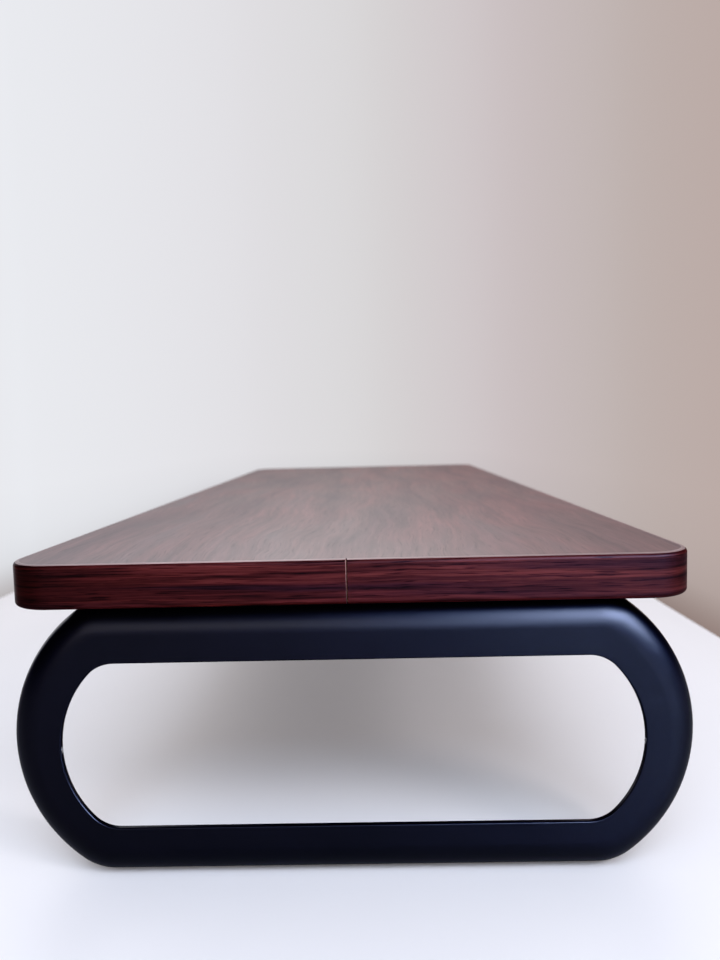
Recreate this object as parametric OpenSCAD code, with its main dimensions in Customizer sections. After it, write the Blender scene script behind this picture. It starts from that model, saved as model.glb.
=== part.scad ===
// Monitor riser stand: a laminated board on two moulded loop legs.
// Origin: centre of the footprint, on the desk. +X runs along the board, +Y to the back, +Z up.
// All sizes are in millimetres.

/* [Board] */
// Length of the board
board_l = 550; // [450:5:650]
// Depth of the board, front to back
board_w = 230; // [215:1:232]
// Thickness of the board with its laminates
board_t = 15; // [15:0.5:20]
// Plan radius of the board's four corners
corner_r = 16; // [8:1:30]
// Thickness of the edge band
band_t = 2; // [1.6:0.1:2.5]
// Radius along the edge band's top and bottom arris
band_round = 1.5; // [0.8:0.1:1.5]
// Gap where the two ends of the edge band meet
band_gap = 0.3; // [0.1:0.1:1]
// Thickness of each laminate
laminate_t = 0.6; // [0.4:0.1:1]

/* [Leg] */
// Height from the desk to the top of the board
riser_h = 112; // [111:0.5:116]
// Width of a leg, front to back
leg_w = 236; // [232:1:240]
// Depth of a leg, along the board
leg_depth = 26; // [24:1:32]
// Distance from the end of the board to a leg's outer face
leg_inset = 6.5; // [2:0.5:40]
// Radius where a bowed side runs into the flat top and bottom
side_blend_r = 20; // [18:0.5:24]
// Rounding from the outer face to the rim
face_r = 9; // [6:0.5:10]
// Wall thickness of the moulding
wall = 2.5; // [2:0.1:3]

/* [Leg opening] */
// Width of the opening
opening_w = 199; // [196:1:200]
// Height of the opening's lower edge above the desk
opening_z0 = 18.3; // [17:0.1:19]
// Height of the opening's upper edge above the desk
opening_z1 = 76.7; // [74:0.1:77]
// Radius of the opening's bowed sides
opening_side_r = 36; // [34:0.5:40]
// Radius where a bowed side runs into the flat edges
opening_blend_r = 9; // [5:0.5:12]

/* [Ribs] */
// Thickness of a stiffening rib
rib_t = 2; // [1.5:0.1:2.5]
// Spacing of the ribs along the bottom bar
rib_pitch = 27; // [20:1:40]
// Angle between the ribs round a bowed side
rib_angle = 22; // [15:1:24]

/* [Fasteners] */
// Distance from the middle screw to each outer one
screw_pitch = 64; // [55:1:70]
// Height of the moulded screw bosses
boss_h = 12; // [10:0.5:14]
// Length of a screw under its head
screw_l = 20; // [16:1:20]

/* [Feet] */
// Length of a foot pad
pad_l = 36; // [20:1:40]
// Width of a foot pad
pad_w = 12; // [8:1:13]
// Thickness of a foot pad
pad_t = 1.6; // [1.2:0.1:2]
// How far a foot pad stands out of its recess
pad_proud = 0.8; // [0.5:0.1:1]
// Distance from the middle of a leg to the middle of a foot pad
pad_offset = 62; // [45:1:62]

/* [Hidden] */
$fn = 96;

right = 0;                              // turn about Z that puts a leg at the +X end
left = 180;                             // and the one for the -X end
front = -1;
back = 1;
joint_overlap = 0.5;                    // how far ribs and bosses run into the walls they grow from
sweep_h = 100;                          // more than the height of any swept section

// Board
board_z = riser_h - board_t;            // underside of the board
core_l = board_l - 2 * band_t;
core_w = board_w - 2 * band_t;
core_r = corner_r - band_t;
core_z = board_z + laminate_t;
core_t = board_t - 2 * laminate_t;

// Leg, drawn with x across the leg, y up and z outwards, from the inner edge to the outer face
leg_x = board_l / 2 - leg_inset - leg_depth;
leg_z0 = pad_proud;
leg_z1 = board_z;
leg_mid_z = (leg_z0 + leg_z1) / 2;
bottom_bar = opening_z0 - leg_z0;
top_bar = leg_z1 - opening_z1;
side_rise = (leg_z1 - leg_z0) / 2 - side_blend_r;
side_r = side_blend_r + side_rise / 0.8;  // bowed sides meet their blends at a 3-4-5 slope
flat_half = leg_w / 2 - side_r + 0.6 * (side_r - side_blend_r);
bow_centre = [leg_w / 2 - side_r, leg_mid_z];
opening_bow_centre = [opening_w / 2 - opening_side_r, (opening_z0 + opening_z1) / 2];
root = wall - joint_overlap;            // where ribs and webs start inside the wall
rib_back_gap = 2;                       // a rib stops this far short of the leg's inner edge
rib_foot = 1;                           // how far it goes on along the wall before it slopes away
rib_lip_gap = 0.7;                      // how far it stops short of the opening
rib_lip_h = 1.2;                        // a rib's height at the opening
rib_side_count = 2;                     // ribs each way from the middle of a bowed side
rib_top_places = [-1.25, -0.5, 0.5, 1.25];  // along the top bar, in screw pitches
web_gap = 1;                            // a boss's web stops this far short of its end
gate_r = 0.5;                           // moulding gate marks at mid height in the opening
gate_l = 0.4;

// Screws (M5, domed head with a hexagon socket), their bosses and the inserts in the board
thread_r = 2.5;
thread_root_r = 2.1;
thread_pitch = 0.8;
thread_flat = 0.1;                      // width of a thread's crest and of its root
screw_tip = 0.8;                        // height of the plain cone at a screw's end
screw_tip_r = 1.6;
head_r = 4.75;
head_h = 2.75;
head_dome_r = 5.6;
socket_w = 3;                           // across the flats
socket_h = 1.7;
boss_r = 6.5;
boss_hole_r = 2.75;
boss_depth = 12;                        // from the leg's inner edge to the screw's axis
boss_z = leg_z1 - boss_h;
insert_r = 3.9;
insert_groove_r = 3.5;
insert_bore_r = 2.55;
insert_l = 10;
insert_rings = 5;
insert_bevel = 0.3;                     // share of a ring's height that each of its slopes takes
pocket_r = 4;
pocket_l = 11;
screw_places = [-screw_pitch, 0, screw_pitch];

// Foot pads
pad_depth = (leg_depth - face_r) / 2;   // from the leg's inner edge to a pad's centre line
pad_clearance = 0.2;
pad_recess = pad_t - pad_proud;

// ---- Paths -------------------------------------------------------------------------------
// A path is a counter-clockwise list of arcs [centre, radius, start angle, swept angle].
// Neighbouring arcs are tangent, or joined by straight lines tangent to both.

function along(angle) = [cos(angle), sin(angle)];
function arc_start(arc) = arc[0] + arc[1] * along(arc[2]);
function arc_end(arc) = arc[0] + arc[1] * along(arc[2] + arc[3]);

// A rectangle with rounded corners, centred on the origin
function rectangle_path(l, w, r) =
    [for (i = [0:3])
        [[(i == 0 || i == 3 ? 1 : -1) * (l / 2 - r), (i < 2 ? 1 : -1) * (w / 2 - r)], r, 90 * i, 90]];

// A barrel: flat top and bottom, and bowed sides blended into them
function barrel_path(w, y0, y1, bow_r, blend_r) =
    let (mid = (y0 + y1) / 2,
         bow_x = w / 2 - bow_r,
         rise = (y1 - y0) / 2 - blend_r,
         tilt = asin(rise / (bow_r - blend_r)),
         blend_x = bow_x + (bow_r - blend_r) * cos(tilt))
    [[[blend_x, mid - rise], blend_r, -90, 90 - tilt],
     [[bow_x, mid], bow_r, -tilt, 2 * tilt],
     [[blend_x, mid + rise], blend_r, tilt, 90 - tilt],
     [[-blend_x, mid + rise], blend_r, 90, 90 - tilt],
     [[-bow_x, mid], bow_r, 180 - tilt, 2 * tilt],
     [[-blend_x, mid - rise], blend_r, 180 + tilt, 90 - tilt]];

// The same path moved in by a distance
function inset_path(path, d) = [for (arc = path) [arc[0], arc[1] - d, arc[2], arc[3]]];

// A wedge from an arc's centre that holds the whole arc
module wedge(arc) {
    far = 2 * arc[1];
    polygon(concat([[0, 0]], [for (step = [0:2]) far * along(arc[2] + arc[3] * step / 2)]));
}

// The area inside a path
module area(path) {
    polygon([for (arc = path) each [arc_start(arc), arc_end(arc)]]);
    for (arc = path)
        translate(arc[0])
            intersection() {
                circle(r = arc[1]);
                wedge(arc);
            }
}

// Sweeps the child, a 2D section, round a path. The section's x is the distance in from the path.
module sweep(path) {
    for (i = [0:len(path) - 1]) {
        arc = path[i];
        line = arc_start(path[(i + 1) % len(path)]) - arc_end(arc);
        translate(arc[0])
            intersection() {
                rotate_extrude()
                    translate([arc[1], 0])
                        mirror([1, 0])
                            children();
                translate([0, 0, -sweep_h])
                    linear_extrude(2 * sweep_h)
                        wedge(arc);
            }
        if (norm(line) > 0.01)
            translate(arc_end(arc))
                rotate([0, 0, arc[2] + arc[3] + 90])
                    rotate([90, 0, 90])
                        linear_extrude(norm(line))
                            children();
    }
}

leg_outline = barrel_path(leg_w, leg_z0, leg_z1, side_r, side_blend_r);

// ---- Board -------------------------------------------------------------------------------

// A sheet that fills the edge band, from the height z up
module board_slab(z, t) {
    translate([0, 0, z])
        linear_extrude(t)
            area(rectangle_path(core_l, core_w, core_r));
}

// Puts the child on the axis of each screw at one end of the board
module at_screws(turn) {
    for (y = screw_places)
        rotate([0, 0, turn])
            translate([leg_x + boss_depth, y, 0])
                children();
}

// The holes for all the inserts
module insert_drill(z, h) {
    for (turn = [right, left])
        at_screws(turn)
            translate([0, 0, z])
                cylinder(r = pocket_r, h = h);
}

module board_core() {
    color([0.66, 0.53, 0.38])
        difference() {
            board_slab(core_z, core_t);
            insert_drill(board_z, pocket_l);
        }
}

module top_laminate() {
    color([0.27, 0.14, 0.12])
        board_slab(riser_h - laminate_t, laminate_t);
}

module bottom_laminate() {
    color([0.22, 0.12, 0.10])
        difference() {
            board_slab(board_z, laminate_t);
            insert_drill(board_z - 1, laminate_t + 2);
        }
}

// Cross-section of the edge band: x goes in from the board's edge, y up from its underside
module band_section() {
    translate([band_round, 0])
        square([band_t - band_round, board_t]);
    translate([0, band_round])
        square([band_round, board_t - 2 * band_round]);
    for (y = [band_round, board_t - band_round])
        intersection() {
            translate([band_round, y])
                circle(r = band_round);
            translate([0, y < board_t / 2 ? 0 : y])
                square([band_round, band_round]);
        }
}

// One strip right round the board, whose ends meet in the middle of the right-hand end
module edge_band() {
    color([0.30, 0.12, 0.11])
        difference() {
            translate([0, 0, board_z])
                sweep(rectangle_path(board_l, board_w, corner_r))
                    band_section();
            translate([board_l / 2 - band_t - 1, -band_gap / 2, board_z - 1])
                cube([band_t + 2, band_gap, board_t + 2]);
        }
}

// ---- Leg ---------------------------------------------------------------------------------

// Sections below have x going in from the rim and y outwards to the outer face

// A quarter disc, of radius r, inside the rounding between rim and face
module rounding(r) {
    translate([face_r, leg_depth - face_r])
        intersection() {
            circle(r = r);
            translate([-r, 0])
                square(r);
        }
}

// The moulding's wall, from the leg's inner edge round to the face
module rim_section() {
    square([wall, leg_depth - face_r]);
    translate([face_r, leg_depth - wall])
        square([joint_overlap, wall]);
    difference() {
        rounding(face_r);
        rounding(face_r - wall);
    }
}

// A rib across a bar: full depth at the rim, tapering to a low step beside the opening
module rib_section(bar) {
    tip = bar - rib_lip_gap;
    polygon([[root, rib_back_gap], [wall + rib_foot, rib_back_gap], [tip, leg_depth - wall - rib_lip_h],
             [tip, leg_depth - root], [face_r, leg_depth - root], [root, leg_depth - face_r]]);
    rounding(face_r - root);
}

// The web that ties a boss to the face
module web_section() {
    end = boss_h - web_gap;
    polygon([[root, boss_depth], [end, boss_depth], [end, leg_depth - root],
             [face_r, leg_depth - root], [root, leg_depth - face_r]]);
    rounding(face_r - root);
}

// Stands the child section up across the bottom bar
module across_bottom(x) {
    translate([x - rib_t / 2, leg_z0, 0])
        rotate([90, 0, 90])
            linear_extrude(rib_t)
                children();
}

// And hangs it across the top bar
module across_top(x) {
    translate([0, leg_z1 + leg_z0, 0])
        mirror([0, 1, 0])
            across_bottom(x)
                children();
}

module bottom_ribs() {
    count = floor(flat_half / rib_pitch);
    for (i = [-count:count])
        across_bottom(i * rib_pitch)
            rib_section(bottom_bar);
}

module top_ribs() {
    for (place = rib_top_places)
        across_top(place * screw_pitch)
            rib_section(top_bar);
}

// Width of a bowed side, measured along a ray from the leg's bow centre
function side_bar(angle) =
    let (offset = opening_bow_centre - bow_centre,
         across = cross(offset, along(angle)))
    side_r - offset * along(angle) - sqrt(opening_side_r * opening_side_r - across * across);

module side_ribs() {
    for (flip = [0, 1], i = [-rib_side_count:rib_side_count])
        mirror([flip, 0, 0])
            translate(bow_centre)
                rotate([0, 0, i * rib_angle])
                    translate([side_r, rib_t / 2, 0])
                        mirror([1, 0, 0])
                            rotate([90, 0, 0])
                                linear_extrude(rib_t)
                                    rib_section(side_bar(i * rib_angle));
}

// A boss hangs from the top wall, with one web out to the face
module boss(x) {
    translate([x, boss_z, boss_depth])
        rotate([-90, 0, 0])
            cylinder(r = boss_r, h = boss_h - joint_overlap);
    across_top(x)
        web_section();
}

// The screw's hole, up through a boss and the top wall
module boss_hole(x) {
    translate([x, boss_z - 1, boss_depth])
        rotate([-90, 0, 0])
            cylinder(r = boss_hole_r, h = boss_h + 2);
}

// A strip with round ends, centred on the origin
module pad_outline(l, w) {
    for (end = [-1, 1])
        translate([end * (l - w) / 2, 0])
            circle(r = w / 2);
    square([l - w, w], center = true);
}

// A pad-shaped block under the leg, from the height z up
module pad_block(x, z, h, clearance) {
    translate([x, z, pad_depth])
        rotate([-90, 0, 0])
            linear_extrude(h)
                pad_outline(pad_l + 2 * clearance, pad_w + 2 * clearance);
}

// Small gate marks that the mould leaves in the middle of each side of the opening
module gate_marks() {
    for (end = [-1, 1])
        translate([end * (opening_w / 2 + 1), (opening_z0 + opening_z1) / 2, leg_depth - wall / 2])
            rotate([0, -90 * end, 0])
                cylinder(r = gate_r, h = 1 + gate_l);
}

// The flat outer face, with the opening through it
module face() {
    translate([0, 0, leg_depth - wall])
        linear_extrude(wall)
            difference() {
                area(inset_path(leg_outline, face_r));
                area(barrel_path(opening_w, opening_z0, opening_z1, opening_side_r, opening_blend_r));
            }
}

module leg() {
    difference() {
        union() {
            sweep(leg_outline)
                rim_section();
            face();
            bottom_ribs();
            top_ribs();
            side_ribs();
            for (x = screw_places)
                boss(x);
            gate_marks();
        }
        for (x = screw_places)
            boss_hole(x);
        for (x = [-pad_offset, pad_offset])
            pad_block(x, leg_z0 - 1, 1 + pad_recess, pad_clearance);
    }
}

// Stands a leg-shaped child up at one end of the board
module place_leg(turn) {
    rotate([0, 0, turn])
        translate([leg_x, 0, 0])
            rotate([90, 0, 90])
                children();
}

module right_leg() {
    color([0.05, 0.05, 0.07])
        place_leg(right)
            leg();
}

module left_leg() {
    color([0.05, 0.05, 0.07])
        place_leg(left)
            leg();
}

// ---- Fasteners ---------------------------------------------------------------------------

// A screw, its head hanging below z = 0. The thread is a row of rings.
module screw() {
    turns = floor((screw_l - screw_tip) / thread_pitch);
    slope = thread_pitch / 2 - thread_flat;
    thread = [for (i = [0:turns - 1])
                let (z = i * thread_pitch)
                each [[thread_root_r, z + thread_flat], [thread_r, z + thread_flat + slope],
                      [thread_r, z + 2 * thread_flat + slope], [thread_root_r, z + thread_pitch]]];
    rotate_extrude()
        polygon(concat([[0, -joint_overlap], [thread_root_r, -joint_overlap]], thread,
                       [[screw_tip_r, screw_l], [0, screw_l]]));
    difference() {
        intersection() {
            translate([0, 0, -head_h])
                cylinder(r = head_r, h = head_h);
            translate([0, 0, head_dome_r - head_h])
                sphere(r = head_dome_r);
        }
        translate([0, 0, -head_h - 1])
            cylinder(r = socket_w / sqrt(3), h = socket_h + 1, $fn = 6);
    }
}

module leg_screws(turn) {
    color([0.20, 0.20, 0.22])
        at_screws(turn)
            translate([0, 0, boss_z])
                screw();
}

// A ringed insert pressed into the core from below
module threaded_insert() {
    ring = insert_l / insert_rings;
    outside = [for (i = [0:insert_rings - 1])
                each [[insert_groove_r, i * ring], [insert_r, (i + insert_bevel) * ring],
                      [insert_r, (i + 1 - insert_bevel) * ring]]];
    rotate_extrude()
        polygon(concat([[insert_bore_r, 0]], outside,
                       [[insert_groove_r, insert_l], [insert_bore_r, insert_l]]));
}

module threaded_inserts(turn) {
    color([0.72, 0.58, 0.30])
        at_screws(turn)
            translate([0, 0, core_z])
                threaded_insert();
}

// ---- Feet --------------------------------------------------------------------------------

module foot_pad(turn, side) {
    color([0.10, 0.10, 0.10])
        place_leg(turn)
            pad_block((turn == right ? side : -side) * pad_offset, 0, pad_t, 0);
}

board_core();
top_laminate();
bottom_laminate();
edge_band();
right_leg();
left_leg();
leg_screws(right);  // right_leg_screws
leg_screws(left);  // left_leg_screws
threaded_inserts(right);  // right_threaded_inserts
threaded_inserts(left);  // left_threaded_inserts
foot_pad(right, front);  // right_front_foot_pad
foot_pad(right, back);  // right_back_foot_pad
foot_pad(left, front);  // left_front_foot_pad
foot_pad(left, back);  // left_back_foot_pad
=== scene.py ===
import math

import bmesh
import bpy
from mathutils import Matrix, Vector
from mathutils.kdtree import KDTree


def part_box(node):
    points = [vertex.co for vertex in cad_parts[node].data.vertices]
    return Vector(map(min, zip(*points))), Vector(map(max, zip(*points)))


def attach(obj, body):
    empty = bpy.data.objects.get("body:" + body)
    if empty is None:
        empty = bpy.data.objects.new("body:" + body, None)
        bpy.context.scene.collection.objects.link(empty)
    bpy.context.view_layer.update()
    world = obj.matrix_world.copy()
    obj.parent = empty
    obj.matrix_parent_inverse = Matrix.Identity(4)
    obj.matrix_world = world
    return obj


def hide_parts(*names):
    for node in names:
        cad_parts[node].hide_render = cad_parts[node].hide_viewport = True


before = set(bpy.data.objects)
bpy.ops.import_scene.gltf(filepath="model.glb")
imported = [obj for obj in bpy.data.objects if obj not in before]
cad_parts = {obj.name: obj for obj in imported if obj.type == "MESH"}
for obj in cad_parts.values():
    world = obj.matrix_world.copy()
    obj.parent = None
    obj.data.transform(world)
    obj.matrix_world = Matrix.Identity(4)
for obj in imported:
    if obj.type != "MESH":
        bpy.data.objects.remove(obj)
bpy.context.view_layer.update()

MM = 0.001


# ---- Sizes -----------------------------------------------------------------------------------
# The board's, the legs' and the pads' places come from the CAD. The leg's section and its opening
# have sizes of their own, within about a millimetre of the CAD's.

BAND_LO, BAND_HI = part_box("edge_band")
LEG_LO, LEG_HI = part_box("right_leg")
HALF_L, HALF_W = BAND_HI.x, BAND_HI.y
BOARD_Z, TOP_Z = BAND_LO.z, BAND_HI.z
BOARD_T = TOP_Z - BOARD_Z
BAND_T = HALF_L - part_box("top_laminate")[1].x
LEG_HALF_W = round(LEG_HI.y, 4)          # the CAD mesh's facets stop just short of it
LEG_DEPTH = LEG_HI.x - LEG_LO.x

# The board
CORNER_R = 16 * MM                       # plan radius of its corners
BAND_ROUND = 1.5 * MM                    # the band's top and bottom edges
BAND_GAP = 0.3 * MM                      # at the seam
BAND_EASE = 0.22 * MM                    # the easing of the band's end beside the gap
SHARP = 0.02 * MM                        # between the two normals of a sharp corner
HIGHLIGHT_UP = 0.74                        # a painted highlight covers the top rounding where it faces up this much

# The leg's outline and its opening
SIDE_BLEND_R = 20 * MM
BOW_COS, BOW_SIN = 0.6, 0.8              # of the slope where a side's bow meets its blends
SIDE_R = SIDE_BLEND_R + ((LEG_HI.z - LEG_LO.z) / 2 - SIDE_BLEND_R) / BOW_SIN
OPENING = dict(w=198.6 * MM, z0=19.0 * MM, z1=76.7 * MM, bow_r=36 * MM, blend_r=12.5 * MM)
OPENING_MID = (OPENING["z0"] + OPENING["z1"]) / 2

# The leg's section
FACE_R = 9 * MM                          # the whole rounding between the side and the face
RIM_R, RIM_ANGLE = 8 * MM, math.radians(55)    # its first part, before it flattens on to the face
CROWN_R = (FACE_R - RIM_R * math.sin(RIM_ANGLE)) / (1 - math.sin(RIM_ANGLE))
WALL, BACK_WALL = 2.5 * MM, 1.3 * MM     # the wall thins towards the open back
LIP = 1.8 * MM                           # the face's thickness at the opening
BACK_EDGE_R, LIP_R, LIP_BACK_R = 0.4 * MM, 0.5 * MM, 0.15 * MM

# Inside the leg
JOINT = 0.5 * MM                         # how far ribs and bosses run into the walls
RIB_T, RIB_PITCH, RIB_ANGLE = 2 * MM, 27 * MM, math.radians(22)
RIB_BACK, RIB_SHORT = 2 * MM, 1.8 * MM   # a rib ends this far from the back and from the opening
TOP_RIBS = (-1.25, -0.5, 0.5, 1.25)      # in screw pitches from the middle
SCREW_PITCH = 64 * MM
BOSS_R, BOSS_H, BOSS_DEPTH, BOSS_HOLE_R = 6.5 * MM, 12 * MM, 12 * MM, 2.75 * MM
GATE_R = 0.5 * MM                        # where a runner was cut off

# The foot pads
PAD_L, PAD_W, PAD_OFFSET = 36 * MM, 12 * MM, 62 * MM
PAD_DEPTH = (LEG_DEPTH - FACE_R) / 2
PAD_RECESS, PAD_CLEAR = 0.8 * MM, 0.4 * MM
PAD_T = 2 * PAD_RECESS

# Painted light and shade across the board, and a painted tint of the top's sheen: (place, tone) from its -Y
# edge at 0 to its +Y edge at 1
BAND_PAINTED_SHADE = [(0.0, 0.42), (0.08, 0.50), (0.24, 0.90), (0.5, 0.95), (0.6, 0.90), (0.80, 1.30),
              (0.97, 0.70)]
# painted shade that dims the top edge's painted highlight across the board
HIGHLIGHT_SHADE = [(0.02, 0.55), (0.2, 0.95), (0.45, 0.90), (0.65, 0.72), (0.85, 0.66), (0.97, 0.66)]
# painted reflection: the top's sheen is tinted warmer towards +Y
PAINTED_SHEEN_TINTS = [(0.1, (1.0, 1.0, 1.0)), (0.5, (1.0, 0.985, 0.97)), (0.9, (1.0, 0.86, 0.85))]
BAND_TINT = (0.73, 0.80, 0.84)


# ---- Small helpers ---------------------------------------------------------------------------

def link(name, data):
    """Puts a new object into the scene."""
    obj = bpy.data.objects.new(name, data)
    bpy.context.scene.collection.objects.link(obj)
    return obj


def new_object(name, verts, faces, normals=None, mats=(), mat_index=None):
    """A mesh object. normals are one per vertex, mat_index one per face."""
    mesh = bpy.data.meshes.new(name)
    mesh.from_pydata([tuple(v) for v in verts], [], faces)
    for m in mats:
        mesh.materials.append(m)
    if mat_index:
        mesh.polygons.foreach_set("material_index", mat_index)
    mesh.polygons.foreach_set("use_smooth", [True] * len(mesh.polygons))
    mesh.update()
    if normals:
        mesh.normals_split_custom_set_from_vertices([tuple(n) for n in normals])
    return link(name, mesh)


def along(angle):
    """The unit vector at an angle."""
    return Vector((math.cos(angle), math.sin(angle)))


def arc_steps(count, a0=0.0, a1=math.pi / 2):
    """Angles from a0 to a1, both included, in so many equal steps."""
    return [a0 + (a1 - a0) * i / count for i in range(count + 1)]


# ---- Outlines --------------------------------------------------------------------------------
# An outline is a list of (point, outward normal), counter-clockwise, with the same number of
# points for every outline of a kind, so that two of them can be joined ring to ring.

BOW_STEPS, BLEND_STEPS, FLAT_STEPS = 48, 14, 30
CORNER_STEPS, SIDE_STEPS = 24, 40


def barrel_outline(w, z0, z1, bow_r, blend_r):
    """Flat above and below, with a bow at each side that small arcs blend into the flats."""
    mid, rise = (z0 + z1) / 2, (z1 - z0) / 2 - blend_r
    bow_x = w / 2 - bow_r
    tilt = math.asin(rise / (bow_r - blend_r))
    blend_x = bow_x + (bow_r - blend_r) * math.cos(tilt)
    q = math.pi / 2
    arcs = [((blend_x, mid - rise), blend_r, -q, -tilt, BLEND_STEPS),
            ((bow_x, mid), bow_r, -tilt, tilt, BOW_STEPS),
            ((blend_x, mid + rise), blend_r, tilt, q, BLEND_STEPS),
            ((-blend_x, mid + rise), blend_r, q, 2 * q - tilt, BLEND_STEPS),
            ((-bow_x, mid), bow_r, 2 * q - tilt, 2 * q + tilt, BOW_STEPS),
            ((-blend_x, mid - rise), blend_r, 2 * q + tilt, 3 * q, BLEND_STEPS)]
    out = []
    for i, (centre, r, a0, a1, count) in enumerate(arcs):
        skip = 1 if i in (1, 2, 4, 5) else 0    # its first point is the last of the arc before
        for a in arc_steps(count, a0, a1)[skip:]:
            n = along(a)
            out.append((Vector(centre) + n * r, n))
        if i in (2, 5):
            n = along(a1)
            start = out[-1][0]
            end_x = -blend_x if i == 2 else blend_x
            for k in range(1, FLAT_STEPS):
                out.append((Vector((start.x + (end_x - start.x) * k / FLAT_STEPS, start.y)), n))
    return out


def straight(start, end, normal, steps):
    """The points between two ends, neither included."""
    return [(start.lerp(end, k / steps), normal) for k in range(1, steps)]


def board_outline():
    """The board's outline, open at the seam: it starts and ends BAND_GAP / 2 off the middle."""
    q, inner_l, inner_w = math.pi / 2, HALF_L - CORNER_R, HALF_W - CORNER_R
    centres = [Vector(c) for c in ((inner_l, inner_w), (-inner_l, inner_w), (-inner_l, -inner_w),
                                   (inner_l, -inner_w))]
    start, end = Vector((HALF_L, BAND_GAP / 2)), Vector((HALF_L, -BAND_GAP / 2))
    out = [(start, Vector((1, 0)))]
    for i, centre in enumerate(centres):
        out += straight(out[-1][0], centre + along(i * q) * CORNER_R, along(i * q), SIDE_STEPS)
        out += [(centre + along(a) * CORNER_R, along(a))
                for a in arc_steps(CORNER_STEPS, i * q, (i + 1) * q)]
    return out + straight(out[-1][0], end, along(4 * q), SIDE_STEPS) + [(end, along(4 * q))]


# ---- Materials -------------------------------------------------------------------------------

class Nodes:
    """A short way to write the node tree of a material, or of the world."""

    def __init__(self, owner, output="ShaderNodeOutputMaterial"):
        self.owner = owner
        owner.use_nodes = True
        self.tree = owner.node_tree
        self.tree.nodes.clear()
        self.out = self.add(output)

    def feed(self, socket, value):
        """Links another node's output to the socket, or sets a plain value."""
        if hasattr(value, "is_output"):
            self.tree.links.new(value, socket)
        else:
            socket.default_value = value

    def add(self, kind, inputs=None, **attrs):
        node = self.tree.nodes.new(kind)
        for name, value in attrs.items():
            setattr(node, name, value)
        for name, value in (inputs or {}).items():
            self.feed(node.inputs[name], value)
        return node

    def show(self, shader):
        """Makes this node's shader the one that shows."""
        self.tree.links.new(shader.outputs[0], self.out.inputs[0])

    def point(self):
        """The shaded point, in metres in the shared frame."""
        return self.add("ShaderNodeTexCoord").outputs["Object"]

    def part(self, vector, axis):
        return self.add("ShaderNodeSeparateXYZ", {0: vector}).outputs["XYZ".index(axis)]

    def moved(self, vector, **by):
        """The vector, moved by so much along the named axes."""
        shift = self.add("ShaderNodeCombineXYZ", by).outputs[0]
        return self.add("ShaderNodeVectorMath", {0: vector, 1: shift}, operation="ADD").outputs[0]

    def math(self, op, a, b=0.0, c=0.0):
        return self.add("ShaderNodeMath", {0: a, 1: b, 2: c}, operation=op).outputs[0]

    def noise(self, vector, scale, detail=3.0, rough=0.5, distort=0.0):
        node = self.add("ShaderNodeTexNoise", {"Vector": vector, "Scale": scale, "Detail": detail,
                                               "Roughness": rough, "Distortion": distort})
        return node.outputs["Fac"]

    def stretched(self, vector, scale):
        return self.add("ShaderNodeMapping", {"Vector": vector, "Scale": scale}).outputs[0]

    def ramp(self, fac, stops, smooth=False):
        """A colour for each value of fac, from (value, colour) stops."""
        node = self.add("ShaderNodeValToRGB", {"Fac": fac})
        node.color_ramp.interpolation = "CARDINAL" if smooth else "LINEAR"
        els = node.color_ramp.elements
        while len(els) < len(stops):
            els.new(0.5)
        for el, (pos, colour) in zip(els, stops):
            el.position = pos
            el.color = (*colour, 1.0)
        return node.outputs["Color"]

    def mix(self, fac, a, b, blend="MIX"):
        """Two colours mixed. Each is another node's output or three plain numbers."""
        node = self.add("ShaderNodeMix", {0: fac}, data_type="RGBA", blend_type=blend)
        for socket, colour in ((6, a), (7, b)):
            self.feed(node.inputs[socket], colour if hasattr(colour, "is_output") else (*colour, 1.0))
        return node.outputs[2]

    def times(self, a, b):
        """Two colours multiplied."""
        return self.mix(1.0, a, b, "MULTIPLY")

    def blend(self, fac, a, b):
        """Two shaders mixed."""
        return self.add("ShaderNodeMixShader", {0: fac, 1: a.outputs[0], 2: b.outputs[0]})

    def across(self, at):
        """How far across the board a point is: 0 at its -Y edge, 1 at its +Y edge."""
        return self.math("MULTIPLY_ADD", self.part(at, "Y"), 1 / (2 * HALF_W), 0.5)

    def painted_shade_across(self, tones):
        """Painted light and shade: a slow change of tone across the board."""
        stops = [(place, grey(tone)) for place, tone in tones]
        return self.ramp(self.across(self.point()), stops, smooth=True)

    def bump(self, height, strength, distance, normal=None):
        inputs = {"Height": height, "Strength": strength, "Distance": distance}
        if normal is not None:
            inputs["Normal"] = normal
        return self.add("ShaderNodeBump", inputs).outputs[0]

    def surface(self, **inputs):
        """An ordinary surface, which shows unless another shader takes its place."""
        named = {name.replace("_", " "): value for name, value in inputs.items()}    # its sockets' names
        shader = self.add("ShaderNodeBsdfPrincipled", named)
        self.show(shader)
        return shader


def new_material(name):
    return Nodes(bpy.data.materials.new(name))


def grey(v):
    return (v, v, v)


def wood_print(n, at, sizes, contrast, dark=None):
    """Dark reddish-brown print and its grain noise. sizes stretches the noises for figure, streaks
    and pores; contrast 1 is a strongly marked grain; dark, if any, is where the figure is darkest."""
    figure_size, streak_size, pore_size = sizes
    figure = n.noise(n.stretched(at, figure_size), 1.0, 2.5, 0.5, 0.3)
    if dark is not None:
        figure = n.math("MULTIPLY_ADD", dark, -0.16, n.math("ADD", figure, 0.03))
    streak = n.noise(n.stretched(at, streak_size), 1.0, 5.0, 0.65)
    pore = n.noise(n.stretched(at, pore_size), 1.0, 2.0)
    mid = (0.060, 0.0135, 0.0125)
    base = n.ramp(figure, [(0.36, (0.024, 0.0085, 0.0125)), (0.46, mid), (0.56, (0.088, 0.020, 0.0165)),
                           (0.64, (0.050, 0.013, 0.0145))])
    base = n.mix(contrast, mid, base)
    dark_grain = grey(1 - 0.75 * contrast)
    lines = n.ramp(streak, [(0.34, dark_grain), (0.50, grey(1.0)), (0.66, grey(1 + 0.85 * contrast))])
    dashes = n.ramp(pore, [(0.34, dark_grain), (0.42, grey(1.0))])
    return n.times(n.times(base, lines), dashes), figure, streak, pore


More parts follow.
